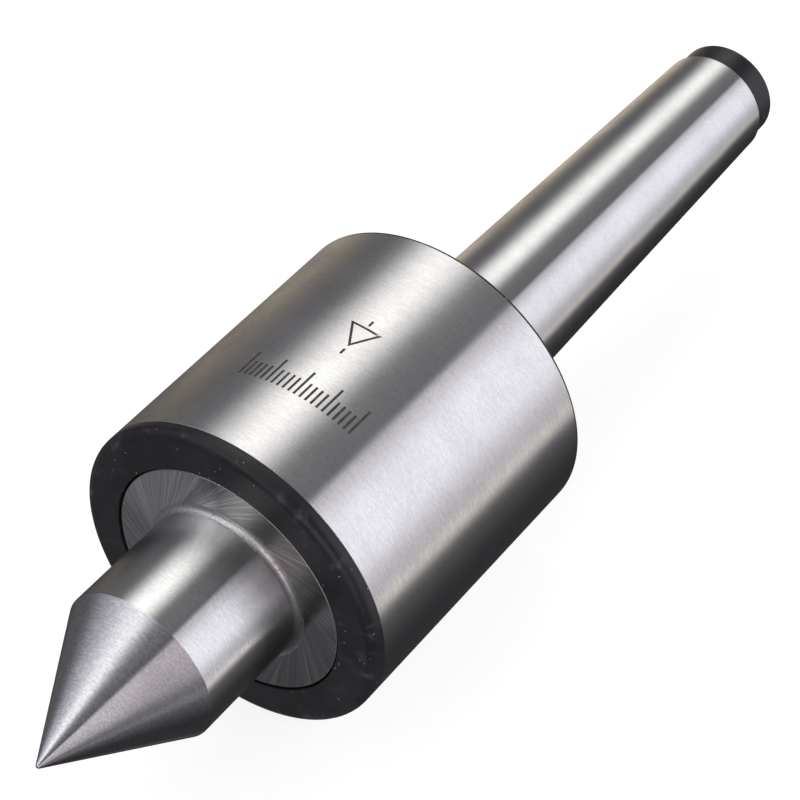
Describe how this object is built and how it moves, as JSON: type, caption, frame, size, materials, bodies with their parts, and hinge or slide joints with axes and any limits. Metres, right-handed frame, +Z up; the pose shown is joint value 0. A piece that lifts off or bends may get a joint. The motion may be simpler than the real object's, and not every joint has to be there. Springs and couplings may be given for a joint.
{
  "type": "live center",
  "caption": "Rotating lathe center: a hardened 60 degree point on a flanged spindle that spins in a round housing with a self-holding taper shank.",
  "frame": {"origin": "on the spin axis, at the gauge plane of the taper shank", "axes": "+X along the spin axis toward the end of the shank, the point toward -X, +Z up with the housing lying on its side"},
  "size_m": [0.1421, 0.041, 0.041],
  "materials": {
    "ground_steel": "ground and hardened steel, fine circumferential grain",
    "black_oxide": "black oxide over turned steel, semi-gloss",
    "bearing_steel": "ground bearing steel",
    "ball_steel": "polished bearing steel",
    "cage_steel": "pressed sheet steel",
    "shield_steel": "pressed sheet steel, satin",
    "spring_steel": "phosphated spring steel",
    "cage_brass": "turned brass",
    "felt": "pressed wool felt, oiled"
  },
  "bodies": {
    "body": {"housing": "ground_steel", "front_cap": "black_oxide", "dust_seal": "felt", "front_outer_ring": "bearing_steel", "front_shield": "shield_steel", "rear_shield": "shield_steel", "preload_spring": "spring_steel", "thrust_housing_washer": "bearing_steel", "needle_cup": "bearing_steel"},
    "spindle": {"center_point": "ground_steel", "front_inner_ring": "bearing_steel", "retaining_ring": "spring_steel", "thrust_shaft_washer": "bearing_steel"},
    "front_ball_set": {"front_cage_near": "cage_steel", "front_cage_far": "cage_steel", "front_cage_rivets": "cage_steel", "front_balls": "ball_steel"},
    "thrust_ball_set": {"thrust_cage": "cage_brass", "thrust_balls": "ball_steel"},
    "needle_set": {"needle_cage": "cage_steel", "needles": "ball_steel"}
  },
  "joints": [
    {"name": "spindle_spin", "type": "hinge", "parent": "body", "child": "spindle", "pos_m": [-0.035, 0, 0], "axis": [1, 0, 0], "continuous": true},
    {"name": "front_cage_spin", "type": "hinge", "parent": "body", "child": "front_ball_set", "pos_m": [-0.035, 0, 0], "axis": [1, 0, 0], "continuous": true},
    {"name": "thrust_cage_spin", "type": "hinge", "parent": "body", "child": "thrust_ball_set", "pos_m": [-0.035, 0, 0], "axis": [1, 0, 0], "continuous": true},
    {"name": "needle_cage_spin", "type": "hinge", "parent": "body", "child": "needle_set", "pos_m": [-0.035, 0, 0], "axis": [1, 0, 0], "continuous": true}
  ],
  "couplings": [
    {"joint": "front_cage_spin", "follows": "spindle_spin", "ratio": 0.40842},
    {"joint": "thrust_cage_spin", "follows": "spindle_spin", "ratio": 0.5},
    {"joint": "needle_cage_spin", "follows": "spindle_spin", "ratio": 0.43478}
  ]
}
